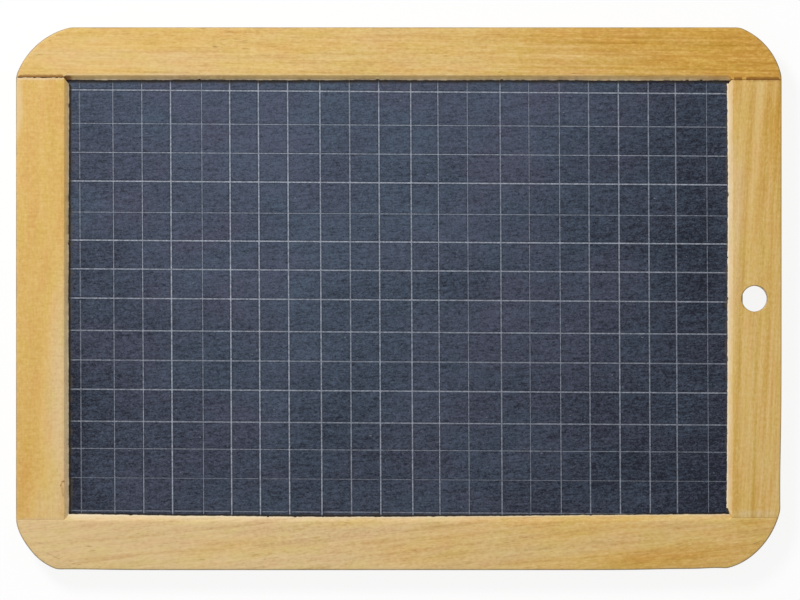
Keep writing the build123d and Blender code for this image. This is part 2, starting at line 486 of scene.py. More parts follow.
def rail_stations(sizes, member, seed):
    """A rail as stations by path points: its section carried round the rail's own outline.

    The path goes along the inner edge, then back round both sawn ends and the outer edge. Each
    station stands off that path by the section. In the groove's layer the path is held inside
    the slots that are open at both ends.
    """
    samples = 1200
    half = samples // 2
    lap_starts, lap_is_full = -1.2 * MM, 0.4 * MM
    smudge_starts, smudge_is_full = -2.6 * MM, 1.6 * MM
    inner, outer, _ = moulding_profile(sizes)
    inner_t, stand_in = both_faces(inner[:, 0]), both_faces(outer[:, 0])
    inner_z, outer_z = both_heights(inner[:, 1]), both_heights(outer[:, 1])
    low_joint, high_joint = (JOINTS[name] for name in member.joints)
    low_t, high_t = (
        both_faces(lapped(inner[:, 0], joint.lap * MM, sizes)) for joint in (low_joint, high_joint)
    )
    # The outer edge, from the low end of the outline that lies above the sight's edge
    outline, normals = local_outline(sizes, member.turn, SIGHT_HEIGHT)
    first = np.flatnonzero((outline[:, 1] >= 0) & (np.roll(outline[:, 1], 1) < 0))[0]
    outline, normals = np.roll(outline, -first, axis=0), np.roll(normals, -first, axis=0)
    kept = np.flatnonzero(outline[:, 1] >= 0)
    picks = np.linspace(0, kept[-1], samples)
    edge, out = (
        [np.interp(picks, kept, line[kept, axis]) for axis in (0, 1)] for line in (outline, normals)
    )
    outer_s, outer_t = edge[0] - stand_in * out[0], edge[1] - stand_in * out[1]
    # The inner edge, stopped where each station meets the outer edge
    along = np.linspace(-HALF_LENGTH, HALF_LENGTH, samples)
    highs = [np.interp(*corner) for corner in zip(high_t[:, 0], outer_t[:, :half], outer_s[:, :half])]
    lows = [np.interp(*corner) for corner in zip(low_t[:, 0], outer_t[:, :half:-1], outer_s[:, :half:-1])]
    inner_s = np.clip(along, np.array(lows)[:, None], np.array(highs)[:, None])
    beside = np.abs(inner_s) - SIGHT_LENGTH
    broad = at_end(inner_s, low_joint.broad, high_joint.broad) * MM
    in_joint = ease_between(beside - broad, lap_starts, lap_is_full)
    on_face = both_faces(STATION <= ARRIS + 1)
    wear = lip_wear(inner_s, sizes, member, SIGHT_LENGTH, seed) * (1 - on_face * in_joint)
    inner_edge = inner_t + (at_end(inner_s, low_t, high_t) - inner_t) * in_joint + wear
    # Both edges in one path, held out of the slots and the groove in their layer
    below = outer_t < at_end(outer_s, low_t, high_t)
    outer_s = np.where(below, at_end(outer_s, inner_s[:, :1], inner_s[:, -1:]), outer_s)
    corner_t = at_end(outer_s, inner_edge[:, :1], inner_edge[:, -1:])
    outer_edge = np.where(below, corner_t, np.maximum(outer_t, corner_t))
    s = np.concatenate([inner_s, outer_s], axis=1)
    t = np.concatenate([inner_edge, outer_edge], axis=1)
    z = np.concatenate([inner_z + 0 * along, outer_z + 0 * along], axis=1)
    slot = SIGHT_LENGTH + sizes.groove_depth
    s[GROOVE_LAYER] = np.clip(s[GROOVE_LAYER], -slot, slot)
    t[GROOVE_LAYER] = np.maximum(t[GROOVE_LAYER], sizes.groove_depth)
    middle_end = HALF_LENGTH - STOCK_WIDTH / 2
    middle = np.clip(along, -middle_end, middle_end)
    middle = np.concatenate([middle, middle[::-1]])
    # The marks of wear and dirt, and the painted shade
    varnished = 0 * outer_z + 0 * along
    edge_bare = bare_moulding(member.bare, inner_s, SIGHT_LENGTH) * (1 - in_joint)
    stain = at_end(inner_s, joint_stain(beside, low_joint), joint_stain(beside, high_joint))
    stain = stain * both_faces((STATION > 0) & (STATION <= SLOPE_FOOT)) * in_joint
    smudge = at_end(inner_s, low_joint.smudge, high_joint.smudge) * both_faces(STATION > ARRIS)
    smudge = smudge * ease_between(beside, smudge_starts, smudge_is_full)
    seam = SEAM_DIRT * both_faces(STATION == LIP_BOTTOM) * (np.abs(outer_s) > slot)
    sides = {
        "bare": (edge_bare, varnished),
        "end": (varnished, both_faces(STATION >= ARRIS) * np.abs(out[0])),
        "grime": (np.maximum(stain, smudge), seam),
        # Painted shade along the lip's edge, where the slate goes in under it, and on the outer edge
        "handled": (member.soiled * LIP_SHADE_AT_STATIONS + varnished, member.handled * RIM_SHADE_AT_STATIONS + varnished),
    }
    marks = {mark: np.concatenate(values, axis=1) for mark, values in sides.items()}
    blank = np.full(2 * samples, np.nan)
    return Stations(s, t, z, middle, marks, blank, blank)


def stile_samples(sizes, holed, reach):
    """Places along a stile, closer together over the hole, and each one's angle round the hole.

    The angle is a quarter turn back at the hole's start and a quarter turn on at its end.
    """
    samples, round_steps = 900, 73
    if not holed:
        return np.linspace(-reach, reach, samples), np.full(samples, np.nan)
    rim = HOLE_RADIUS + sizes.hole_ease
    angles = np.linspace(-math.pi / 2, math.pi / 2, round_steps)
    side = np.linspace(rim, reach, (samples - round_steps) // 2 + 1)[1:]
    along = np.concatenate([-side[::-1], rim * np.sin(angles), side])
    blank = np.full(len(side), np.nan)
    return along, np.concatenate([blank, angles, blank])


def stile_stations(sizes, member, holed, seed):
    """A stile as stations by path points: its section carried round between coped shoulders.

    The path goes up the inner edge, out along the far shoulder, back down the outline and in
    along the near shoulder. In the groove's layer the shoulders are pushed out to the outline,
    which makes the tenons.
    """
    shoulder_steps = 70
    saw_spacing, wear_fades = 0.9 * MM, 2 * MM
    inner, outer, shoulder = moulding_profile(sizes)
    inner_t, stand_in = both_faces(inner[:, 0]), both_faces(outer[:, 0])
    inner_z, outer_z = both_heights(inner[:, 1]), both_heights(outer[:, 1])
    shoulder_z = both_heights(shoulder[:, 1])
    outline, normals = local_outline(sizes, member.turn, SIGHT_LENGTH)
    flank = outline[outline[:, 1] > STOCK_WIDTH / 2]
    flank = flank[np.argsort(flank[:, 0])].T
    along, angles = stile_samples(sizes, holed, SIGHT_HEIGHT + sizes.ledge_width + sizes.bevel_width)
    # How far each station reaches at either end, and how wide the stile is there
    joints = {end: JOINTS[name] for end, name in zip((-1, 1), member.joints)}
    limit, width = {}, {}
    for end, joint in joints.items():
        cope = both_faces(lapped(shoulder[:, 0], joint.lap * MM, sizes))
        limit[end] = SIGHT_HEIGHT + cope - joint.gap * MM
        width[end] = np.interp(end * limit[end], *flank)

    def shoulder_s(end, t):
        """How far along each station goes at t: its limit, less the broken corner and the ragged cut."""
        joint = joints[end]
        ragged = joint.ragged * MM * (0.5 + 0.5 * fractal_noise(t, saw_spacing, 3, seed + 5 * end))
        broad = joint.broad * MM
        broken = joint.chip * MM * ease_between(t, broad, 0.25 * broad)
        return end * (np.minimum(limit[end], limit[end][ARRIS] - broken) - ragged)

    inner_s = np.clip(along, shoulder_s(-1, inner_t), shoulder_s(1, inner_t))
    inner_edge = inner_t + lip_wear(inner_s, sizes, member, SIGHT_HEIGHT, seed)
    outer_s = np.clip(along[::-1], *(shoulder_s(end, width[end] - stand_in) for end in (-1, 1)))
    outer_t = np.interp(outer_s, *flank) - stand_in
    # The shoulders, and in the groove's layer the tenons out to the outline's corner
    root = np.linspace(0, sizes.groove_depth, shoulder_steps // 3)
    rise = np.sin(np.linspace(0, math.pi / 2, shoulder_steps))
    cut = both_faces(STATION > 0)
    shoulders, stains, sawn = {}, {}, {}
    for end in (1, -1):
        tenon = sizes.groove_depth + (width[end].max() - sizes.groove_depth) * rise
        across = np.concatenate([root, tenon])
        t = np.clip(across, inner_t, width[end] - stand_in)
        s = shoulder_s(end, t)
        stains[end] = SHOULDER_DIRT * cut * joint_stain(t, joints[end])
        corner_wear = (inner_edge[:, -1:] if end == 1 else inner_edge[:, :1]) - inner_t
        t = t + corner_wear * np.clip(1 - (t - inner_t) / wear_fades, 0, 1)
        corner = np.flatnonzero((end * outline[:, 0] > SIGHT_HEIGHT / 2) & (outline[:, 1] > 0))
        corner = corner[np.argsort(-end * outline[corner, 0])]
        corner_t = np.maximum.accumulate(outline[corner, 1])
        widest, foot = width[end][GROOVE_ROOT], limit[end][GROOVE_ROOT]
        tenon_end = np.interp(np.minimum(tenon, widest), corner_t, end * outline[corner, 0])
        s[GROOVE_LAYER, : len(root)] = end * foot
        s[GROOVE_LAYER, len(root) :] = end * np.maximum(tenon_end - TENON_SHORT, foot)
        t[GROOVE_LAYER] = np.clip(across, sizes.groove_depth, widest)
        shoulders[end] = s, t
        sawn[end] = np.zeros_like(s)
        sawn[end][GROOVE_LAYER] = np.interp(across, corner_t, np.abs(normals[corner, 0]))

    def round_path(inner_side, far, outer_side, near):
        """The four stretches of the path in order; both shoulders are given from the inside out."""
        return np.concatenate([inner_side, far, outer_side, near[..., ::-1]], axis=-1)

    (far_s, far_t), (near_s, near_t) = shoulders[1], shoulders[-1]
    s = round_path(inner_s, far_s, outer_s, near_s)
    t = round_path(inner_edge, far_t, outer_t, near_t)
    edge, plain = 0 * inner_z + 0 * along, np.zeros_like(far_s)
    over = shoulder_z + plain
    z = round_path(inner_z + edge, over, outer_z + edge, over)
    stop = min(limit[1].min(), limit[-1].min()) - STOCK_WIDTH / 2
    middle = np.clip(along, -stop, stop)
    stops, blank = np.full(len(across), stop), np.full(len(across), np.nan)
    middle = round_path(middle, stops, middle[::-1], -stops)
    angles = round_path(angles, blank, angles[::-1], blank)
    sides = round_path(-np.ones(len(along)), blank, np.ones(len(along)), blank)
    # The marks of wear and dirt, and the painted shade
    on_shoulder = both_faces((STATION > 0) & (STATION < GROOVE_ROOT)) + plain
    edge_bare = bare_moulding(member.bare, inner_s, SIGHT_HEIGHT)
    # Painted shade along the lip's edge, where the slate goes in under it, and on the outer edge
    lip_shading, rim_shading = member.soiled * LIP_SHADE_AT_STATIONS + edge, member.handled * RIM_SHADE_AT_STATIONS + edge
    marks = {
        "bare": round_path(edge_bare, on_shoulder * joints[1].bare, edge, on_shoulder * joints[-1].bare),
        "end": round_path(edge, sawn[1], edge, sawn[-1]),
        "grime": round_path(edge, stains[1], edge, stains[-1]),
        "handled": round_path(lip_shading, plain, rim_shading, plain),
    }
    return Stations(s, t, z, middle, marks, angles, sides)


def grid_quads(rows, columns, closed=False):
    """Corner numbers of the quads of a grid, row by row, joined round where its columns close."""
    numbers = np.arange(rows * columns).reshape(rows, columns)
    if closed:
        numbers = np.concatenate([numbers, numbers[:, :1]], axis=1)
    corners = (numbers[:-1, :-1], numbers[1:, :-1], numbers[1:, 1:], numbers[:-1, 1:])
    return np.stack(corners, axis=-1).reshape(-1, 4)


def finished_object(name, points, quads, marks, sharp_angle):
    """A new object from points and quads, its doubles merged, with the marks' values at its points."""
    mesh = bpy.data.meshes.new(name)
    mesh.from_pydata(points, [], quads)
    for mark, values in marks.items():
        mesh.attributes.new(mark, "FLOAT", "POINT").data.foreach_set("value", values)
    shape = bmesh.new()
    shape.from_mesh(mesh)
    bmesh.ops.remove_doubles(shape, verts=shape.verts, dist=MERGE_REACH)
    bmesh.ops.dissolve_degenerate(shape, edges=shape.edges, dist=DROP_REACH)
    shape.to_mesh(mesh)
    shape.free()
    mesh.shade_smooth()
    mesh.set_sharp_from_angle(angle=sharp_angle)
    piece = bpy.data.objects.new(name, mesh)
    bpy.context.scene.collection.objects.link(piece)
    return piece


def member_points(sizes, stations):
    """A member's grid in its own frame: its front middle line, its stations, its back middle line.

    Where the path passes the hanging hole, the middle line opens into the hole's rim.
    """
    rim = HOLE_RADIUS + sizes.hole_ease
    swing = np.where(np.isnan(stations.angles), 0, stations.sides * rim * np.cos(stations.angles))
    middle_t = STOCK_WIDTH / 2 + np.nan_to_num(swing)
    s = np.vstack([stations.middle, stations.s, stations.middle])
    t = np.vstack([middle_t, stations.t, middle_t])
    top = np.full(len(middle_t), THICKNESS)
    z = np.vstack([top, stations.z, 0 * top])
    return s, t, z


def hole_points(sizes, stations):
    """The hanging hole in the member's own frame: its rim, eased wall and back rim, turning inwards."""
    on_rim = np.flatnonzero(~np.isnan(stations.angles))[::-1]
    angles, sides = stations.angles[on_rim], stations.sides[on_rim]
    ease = sizes.hole_ease
    walls = np.linspace(THICKNESS - ease, ease, len(HOLE_SHADE) - 2)
    heights = np.concatenate([[THICKNESS], walls, [0]])[:, None]
    radii = np.concatenate([[HOLE_RADIUS + ease], 0 * walls + HOLE_RADIUS, [HOLE_RADIUS + ease]])[:, None]
    s = radii * np.sin(angles)
    t = STOCK_WIDTH / 2 + radii * sides * np.cos(angles)
    return s, t, heights + 0 * s


def member_object(name, node, sizes, stations, turn, inner_edge, material):
    """Turns a member's own frame onto the board, joins its grids into one mesh and dresses it."""
    grids = [member_points(sizes, stations)]
    marks = {mark: [np.pad(values, ((1, 1), (0, 0)))] for mark, values in stations.marks.items()}
    # The hanging hole's wall gets painted shade, and none of the other marks
    if not np.isnan(stations.angles).all():
        grids.append(hole_points(sizes, stations))
        for mark, values in marks.items():
            values.append((HOLE_SHADE if mark == "handled" else 0) + np.zeros_like(grids[1][0]))
    points, quads, count = [], [], 0
    for s, t, z in grids:
        out = t + inner_edge
        x = s * math.cos(turn) - out * math.sin(turn)
        y = s * math.sin(turn) + out * math.cos(turn)
        points.append(np.stack([x, y, z], axis=-1).reshape(-1, 3))
        quads.append(grid_quads(*s.shape, closed=True) + count)
        count += s.size
    marks = {mark: np.concatenate([v.ravel() for v in values]) for mark, values in marks.items()}
    piece = finished_object(name, np.concatenate(points), np.concatenate(quads), marks, WOOD_SHARP)
    piece.data.materials.append(material)
    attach(piece, "root")
    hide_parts(node)


def scribed_lines(axis):
    """Where the scribed lines cross one axis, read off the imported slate: centres and widths.

    Every line's two edges cut the border of the front face, so between the border's own corners
    the points come in pairs. Both borders are read, because the lines aren't quite square to them.
    """
    mesh = frame["nodes"]["slate"].data
    points = np.empty(3 * len(mesh.vertices))
    mesh.vertices.foreach_get("co", points)
    points = points.reshape(-1, 3)
    near = 0.001 * MM
    front = points[np.abs(points[:, 2] - SLATE_HIGH.z) < near]
    across = front[:, 1 - axis]
    borders = []
    for border in (across.min(), across.max()):
        crossings = np.unique(np.round(front[np.abs(across - border) < near, axis], 7))
        borders.append(crossings[1:-1].reshape(-1, 2))
    low, high = borders
    return low.mean(axis=1), high.mean(axis=1), np.ptp(low, axis=1), front[:, axis].max()


def ruled_stations(axis, strengths):
    """Grid places along one axis: six at every scribed line, and even ones between.

    Gives each place at the low and the high border, its drop as a share of the ruling's depth,
    and how bruised the stone is there, below 0 for the dark edge beside a line.
    """
    low, high, width, edge = scribed_lines(axis)
    cell_steps = 4
    flanks = np.array([-1.5, -0.68, -0.32, 0.32, 0.68, 1.5])
    floor, paled = np.array([0, 0, 1, 1, 0, 0]), np.array([0, -0.5, 1, 1, -0.5, 0])
    ends = []
    for centres in (low, high):
        lines = centres[:, None] + flanks * width[:, None]
        starts = np.concatenate([[-edge], lines[:, -1]])
        stops = np.concatenate([lines[:, 0], [edge]])
        steps = np.linspace(0, 1, cell_steps + 1)[1:-1]
        between = starts[:, None] + (stops - starts)[:, None] * steps
        rows = np.concatenate([between[:-1], lines], axis=1).ravel()
        ends.append(np.concatenate([[-edge], rows, between[-1], [edge]]))
    blank = np.zeros((len(low), cell_steps - 1))
    drop = np.concatenate([blank, floor + 0 * width[:, None]], axis=1).ravel()
    bruise = np.concatenate([blank, paled * strengths[:, None]], axis=1).ravel()
    pad = ((1, cell_steps),)
    return ends[0], ends[1], np.pad(drop, pad), np.pad(bruise, pad)


def slate_points(sizes, seed):
    """The ruled face as a grid: each point is where a column's line meets a row's line.

    A column runs straight from its place at the low border to its place at the high one, and so
    does a row, so the crossing is found by going from one to the other three times.
    """
    column_low, column_high, column_drop, column_bruise = ruled_stations(0, np.array(PALE_DOWN))
    row_low, row_high, row_drop, row_bruise = ruled_stations(1, np.array(PALE_ACROSS))
    half_x, half_y = column_low.max(), row_low.max()
    x = ((column_low + column_high) / 2)[None, :] + 0 * row_low[:, None]
    for _ in range(3):
        y = row_low[:, None] + (row_high - row_low)[:, None] * (x + half_x) / (2 * half_x)
        x = column_low + (column_high - column_low) * (y + half_y) / (2 * half_y)
    drop = np.maximum(column_drop[None, :], row_drop[:, None])
    long_spacing, short_spacing = 9 * MM, 4 * MM
    long_waves = value_noise(x * 0.9 + y * 0.35, long_spacing, seed + 2)
    short_waves = value_noise(y - x * 0.15, short_spacing, seed + 3)
    relief = sizes.slate_relief * (0.5 + 0.5 * long_waves * short_waves)
    down, across = column_bruise + 0 * row_bruise[:, None], row_bruise[:, None] + 0 * column_bruise
    bruise = np.where(np.abs(down) > np.abs(across), down, across)
    return x, y, SLATE_HIGH.z - sizes.ruling_depth * drop - relief, bruise


def slate_object(name, sizes, material):
    """The slate as one closed sheet: the ruled face, its bevelled edge and the plain back."""
    x, y, z, bruise = slate_points(sizes, sizes.seed + SLATE_SEED)
    rows, columns = x.shape
    front = np.stack([x, y, z], axis=-1)
    flat_back = np.stack([x, y, 0 * z + SLATE_LOW.z], axis=-1)
    around = np.concatenate([
        np.arange(columns),
        np.arange(1, rows) * columns + columns - 1,
        rows * columns - 2 - np.arange(columns - 1),
        (rows - 2 - np.arange(rows - 2)) * columns,
    ])
    border = front.reshape(-1, 3)[around]
    plan = border[:, :2]
    bevel = SLATE_HIGH.x - plan[:, 0].max()
    grown = plan * (1 + bevel / plan.max(axis=0))
    levels = ((grown, SLATE_HIGH.z - bevel), (grown, SLATE_LOW.z + bevel), (plan, SLATE_LOW.z))
    bands = [border] + [np.column_stack([p, np.full(len(p), level)]) for p, level in levels]
    faces, one_face = grid_quads(rows, columns), rows * columns
    edge = grid_quads(len(bands), len(border), closed=True)
    quads = np.concatenate([faces[:, ::-1], faces + one_face, edge + 2 * one_face])
    points = np.concatenate([part.reshape(-1, 3) for part in (front, flat_back, np.stack(bands))])
    marks = {"bruise": np.pad(bruise.ravel(), (0, len(points) - one_face))}
    piece = finished_object(name, points, quads, marks, SLATE_SHARP)
    piece.data.materials.append(material)
    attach(piece, "root")
    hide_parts("slate")


class Finish:
    """One material's nodes, with short forms for the few kinds that these finishes use."""

    def __init__(self, name):
        self.material = bpy.data.materials.new(name)
        self.material.use_nodes = True
        self.tree = self.material.node_tree
        self.shader = self.tree.nodes["Principled BSDF"]

    def node(self, kind, inputs=(), **settings):
        """A new node of a kind, with its settings, and values or links on its inputs by key."""
        new = self.tree.nodes.new(kind)
        for name, value in settings.items():
            setattr(new, name, value)
        for name, value in dict(inputs).items():
            self.feed(new.inputs[name], value)
        return new

    def feed(self, socket, value):
        """Links an output to a socket, or sets the socket to a constant."""
        if isinstance(value, bpy.types.NodeSocket):
            self.tree.links.new(value, socket)
        else:
            socket.default_value = value

    def dress(self, sockets):
        """Sets or links the shader's sockets by name."""
        for name, value in sockets.items():
            self.feed(self.shader.inputs[name], value)

    def math(self, operation, *values):
        """One step of arithmetic on outputs or numbers."""
        return self.node("ShaderNodeMath", enumerate(values), operation=operation).outputs[0]

    def add(self, first, second):
        """The sum of two outputs or numbers."""
        return self.math("ADD", first, second)

    def minus(self, first, second):
        """The first output or number less the second."""
        return self.math("SUBTRACT", first, second)

    def times(self, first, second):
        """The product of two outputs or numbers."""
        return self.math("MULTIPLY", first, second)

    def board_places(self, turn=0.0):
        """Places on the board in millimetres, turned so that X runs at the angle given."""
        source = self.node("ShaderNodeTexCoord").outputs["Object"]
        inputs = {"Vector": source, "Rotation": (0, 0, -turn), "Scale": (1 / MM, 1 / MM, 1 / MM)}
        return self.node("ShaderNodeMapping", inputs).outputs[0]

    def split(self, places):
        """The X, Y and Z of places."""
        return self.node("ShaderNodeSeparateXYZ", {0: places}).outputs

    def noise(self, places, grain, detail=2.0, rough=0.5, bend=0.0):
        """Noise from 0 to 1 about 0.5, whose features are grain millimetres long along X, Y and Z."""
        factors = tuple(1 / size for size in grain)
        stretched = self.node("ShaderNodeVectorMath", {0: places, 1: factors}, operation="MULTIPLY")
        inputs = {"Vector": stretched.outputs[0], "Scale": 1.0, "Detail": detail}
        inputs.update({"Roughness": rough, "Distortion": bend})
        return self.node("ShaderNodeTexNoise", inputs).outputs[0]

    def ease(self, value, low, high, to_low=0.0, to_high=1.0):
        """A smooth step from to_low at low to to_high at high."""
        inputs = enumerate((value, low, high, to_low, to_high))
        return self.node("ShaderNodeMapRange", inputs, interpolation_type="SMOOTHSTEP").outputs[0]

    def span(self, value, low, high, to_low=0.0, to_high=1.0):
        """A straight, clamped run from to_low at low to to_high at high."""
        inputs = enumerate((value, low, high, to_low, to_high))
        return self.node("ShaderNodeMapRange", inputs).outputs[0]

    def swing(self, noise, reach, strength):
        """Noise about 0.5 as -strength to strength, got to at the reach on either side of 0.5."""
        return self.span(noise, 0.5 - reach, 0.5 + reach, -strength, strength)

    def blend(self, share, first, second, mode="MIX"):
        """A share of the second colour over the first."""
        inputs = {0: share, 6: first, 7: second}
        return self.node("ShaderNodeMix", inputs, data_type="RGBA", blend_type=mode).outputs[2]

    def mark(self, name):
        """One of the piece's own marks of wear."""
        return self.node("ShaderNodeAttribute", attribute_name=name).outputs["Fac"]

    def relief(self, height):
        """The shader's normal over a height of 0 to 1, which stands for the fine relief's depth."""
        inputs = {"Height": height, "Distance": FINE_RELIEF, "Strength": 1.0}
        return self.node("ShaderNodeBump", inputs).outputs[0]


def rgba(colour_value):
    """A colour with nothing see-through about it."""
    return (*colour_value, 1.0)


# How one member's wood lies in its tree, in millimetres, and how strongly its marks show.
# lean: the grain's angle off the member's length; pith: where the tree's middle lies across the
# grain and below the board; ring: width of a growth ring; wander: how far the rings sway; rings:
# their strength at the board's left and right; calm: what share of their strength all marks keep at
# the board's left end; grain: length, width and strength of its short marks; strokes, chatter,
# flecks: strength of each; fibres: width and strength of its long marks; warm: the varnish's warmth
# at the left and right, where the change starts and ends, and how cloudy it is.
# Patches, spots and worn places are ovals: middle, half sizes, tilt in degrees and strength.
# lines: slope and bow of the plainest lines of late wood, then each one's place across the member,
# how far it fades below and above that, and its strength.
WoodLook = namedtuple(
    "WoodLook",
    "lean pith ring wander rings calm grain strokes fibres chatter flecks warm patches spots worn lines",
    defaults=((), (), ()),
)
WOOD_LOOKS = {
    "top_rail": WoodLook(
        lean=-1.0, pith=(40, 30), ring=2.6, wander=9, rings=(0.2, 0.4), calm=0.76,
        grain=(1.4, 0.62, 0.27), strokes=0.16, fibres=(0.65, 0.27), chatter=0.06, flecks=0.55,
        warm=(0.42, 1.0, 15, 92, 0.22),
        patches=((45, 79, 75, 6, 0, -0.12), (-20, 86, 90, 5, 0, 0.08), (80, 74, 50, 4.5, 0, -0.3)),
        spots=(
            (-61.3, 84.3, 1.7, 0.45, 0, 0.6), (-51.2, 83.6, 1.6, 0.4, -3, 0.5),
            (78.5, 85.6, 1.3, 0.45, 0, 0.6),
        ),
        lines=(
            -0.012, 0.0,
            (
                (88.2, 0.7, 1.0, 0.5), (86.2, 0.8, 1.2, 0.75), (84.0, 0.7, 1.0, 0.5),
                (80.2, 0.8, 1.3, 0.8), (77.7, 0.8, 1.1, 0.7),
            ),
        ),
    ),
    "bottom_rail": WoodLook(
        lean=6.0, pith=(-20, 26), ring=3.4, wander=14, rings=(0.34, 0.34), calm=0.68,
        grain=(1.4, 0.62, 0.27), strokes=0.14, fibres=(0.65, 0.25), chatter=0.06, flecks=0.5,
        warm=(-0.1, 0.4, -100, 90, 0.22),
        patches=(
            (85, -87.5, 60, 6, 5, 0.45), (-62, -84, 60, 5, 6, 0.12), (-100, -86, 30, 3.5, 8, 0.15),
            (-35, -77.5, 30, 5, 0, -0.2), (119, -75, 10, 1.5, 0, 0.3),
        ),
        spots=(
            (-103.7, -82.8, 1.8, 0.35, 0, 0.45), (-102.7, -84.3, 2.0, 0.35, 6, 0.45),
            (-117.0, -85.3, 2.2, 0.35, -22, 0.4), (-114.5, -86.6, 2.2, 0.35, -18, 0.45),
            (-66.0, -87.2, 2.2, 0.35, 0, 0.4),
        ),
    ),
    "left_stile": WoodLook(
        lean=1.0, pith=(5, 60), ring=6.0, wander=10, rings=(0.08, 0.08), calm=1.0,
        grain=(1.1, 0.8, 0.17), strokes=0.04, fibres=(0.5, 0.06), chatter=0.16, flecks=0.15,
        warm=(0.6, 0.6, 0, 1, 0.09),
        patches=(
            (-111.5, -32, 10, 64, 0, -0.8), (-118, -70, 9, 14, 0, -0.3), (-123.5, -61, 5, 18, 0, 0.1),
        ),
        spots=(
            (-112.2, -61.1, 1.0, 0.5, 15, 1.0), (-112.9, -62.2, 0.4, 0.9, -20, 0.8),
            (-112.5, -64.0, 0.9, 2.4, 6, 0.4), (-112.2, -65.6, 0.5, 0.9, -10, 0.5),
        ),
        worn=((-128.2, 64.5, 3.2, 14.5, 0, 0.75),),
    ),
    "right_stile": WoodLook(
        lean=-3.3, pith=(60, 20), ring=4.7, wander=6, rings=(0.2, 0.2), calm=1.0,
        grain=(1.3, 0.7, 0.2), strokes=0.1, fibres=(0.85, 0.23), chatter=0.1, flecks=0.25,
        warm=(0.55, 0.55, 0, 1, 0.22),
        patches=((112.5, 30, 6, 45, 0, -0.45), (125, 56, 5, 26, 0, 0.3), (119, -71.8, 14, 2.0, 0, -0.5)),
        lines=(
            -0.0405, -0.00021,
            (
                (-108.7, 1.0, 2.0, 0.7), (-115.0, 0.9, 2.6, 0.8), (-120.7, 1.1, 2.8, 0.8),
                (-123.8, 0.8, 1.4, 0.8), (-125.9, 0.6, 1.0, 0.45), (-127.5, 0.5, 0.9, 0.35),
            ),
        ),
    ),
}


def growth_rings(finish, places, look):
    """Late wood from 0 to 1: rings about the pith's line, swayed by slow noise, each dark at its end.

    The ring number is the distance from the pith over the ring's width. Within a ring the shade
    climbs slowly and drops fast, and every ring has a strength of its own.
    """
    _, across, up = finish.split(places)
    sway = finish.minus(finish.noise(places, (120, 16, 16), 2.0), 0.5)
    aside = finish.add(across, finish.times(sway, look.wander))
    flat = finish.minus(aside, look.pith[0])
    deep = finish.add(up, look.pith[1])
    squares = finish.add(finish.times(flat, flat), finish.times(deep, deep))
    number = finish.math("DIVIDE", finish.math("SQRT", squares), look.ring)
    shiver = finish.times(finish.noise(places, (22, 1.6, 1.6), 3.0, 0.6), 0.55)
    number = finish.add(number, shiver)
    phase = finish.math("FRACT", number)
    own = finish.node("ShaderNodeTexWhiteNoise", noise_dimensions="1D")
    finish.feed(own.inputs["W"], finish.math("FLOOR", number))
    climb = finish.math("POWER", finish.ease(phase, 0.1, 0.86), 1.6)
    late = finish.times(climb, finish.ease(phase, 1.0, 0.86))
    return finish.times(late, finish.span(own.outputs["Value"], 0, 1, 0.25, 1.0))


def late_lines(finish, places, look):
    """The plainest lines of late wood: each darkens up to its place across and fades behind it.

    A line's place shifts along the member by (slope + bow * along) * along, and wavers a little.
    """
    along, across, _ = finish.split(places)
    slope, bow, lines = look.lines
    shift = finish.times(along, finish.add(finish.times(along, bow), slope))
    waver = finish.swing(finish.noise(places, (28, 3, 3), 3.0, 0.6), 0.2, 0.5)
    level = finish.add(finish.minus(across, shift), waver)
    dark = 0.0
    for place, below, above, strength in lines:
        beside = finish.minus(level, place)
        peak = finish.math("MINIMUM", finish.ease(beside, -below, 0), finish.ease(beside, above, 0))
        dark = finish.add(finish.times(peak, strength), dark)
    return finish.times(dark, finish.span(finish.noise(places, (30, 7, 7)), 0.3, 0.7, 0.6, 1.3))


def oval(finish, board, place, core):
    """A soft oval: its strength out to the core's share of its half sizes, and nothing beyond them."""
    x, y, half_x, half_y, tilt, strength = place
    inputs = {"Vector": board, "Location": (x, y, 0), "Rotation": (0, 0, math.radians(tilt))}
    inputs["Scale"] = (half_x, half_y, 1000)
    centred = finish.node("ShaderNodeMapping", inputs, vector_type="TEXTURE").outputs[0]
    reach = finish.node("ShaderNodeVectorMath", {0: centred}, operation="LENGTH").outputs["Value"]
    return finish.ease(reach, 1.0, core, 0.0, strength)


def with_ovals(finish, board, value, places, core=0.0):
    """A value with soft ovals added to it."""
    for place in places:
        value = finish.add(value, oval(finish, board, place, core))
    return value


def varnished_base(finish, board, places, look, colours):
    """The wood's base colour, from pale through golden to warm with slow tints, and its early wood's."""
    board_x, _, _ = finish.split(board)
    low, high, start, stop, cloudy = look.warm
    warmth = with_ovals(finish, board, finish.ease(board_x, start, stop, low, high), look.patches)
    clouds = finish.noise(places, (34, 6, 6), 3.0, 0.55)
    warmth = finish.add(warmth, finish.swing(clouds, 0.25, cloudy))
    base = finish.blend(finish.span(warmth, 0, 0.5), rgba(colours.pale_wood), rgba(colours.golden_wood))
    base = finish.blend(finish.span(warmth, 0.5, 1), base, rgba(colours.warm_wood))
    tint = finish.noise(places, (11, 3.5, 3.5), 2.0, 0.5)
    base = finish.blend(finish.ease(tint, 0.5, 0.68), base, (1.0, 0.95, 0.98, 1), "MULTIPLY")
    base = finish.blend(finish.ease(tint, 0.5, 0.32), base, (0.975, 1.0, 0.9, 1), "MULTIPLY")
    lit = finish.blend(finish.span(warmth, 0.55, 1), rgba(colours.early_wood), rgba(colours.bright_wood))
    return base, lit


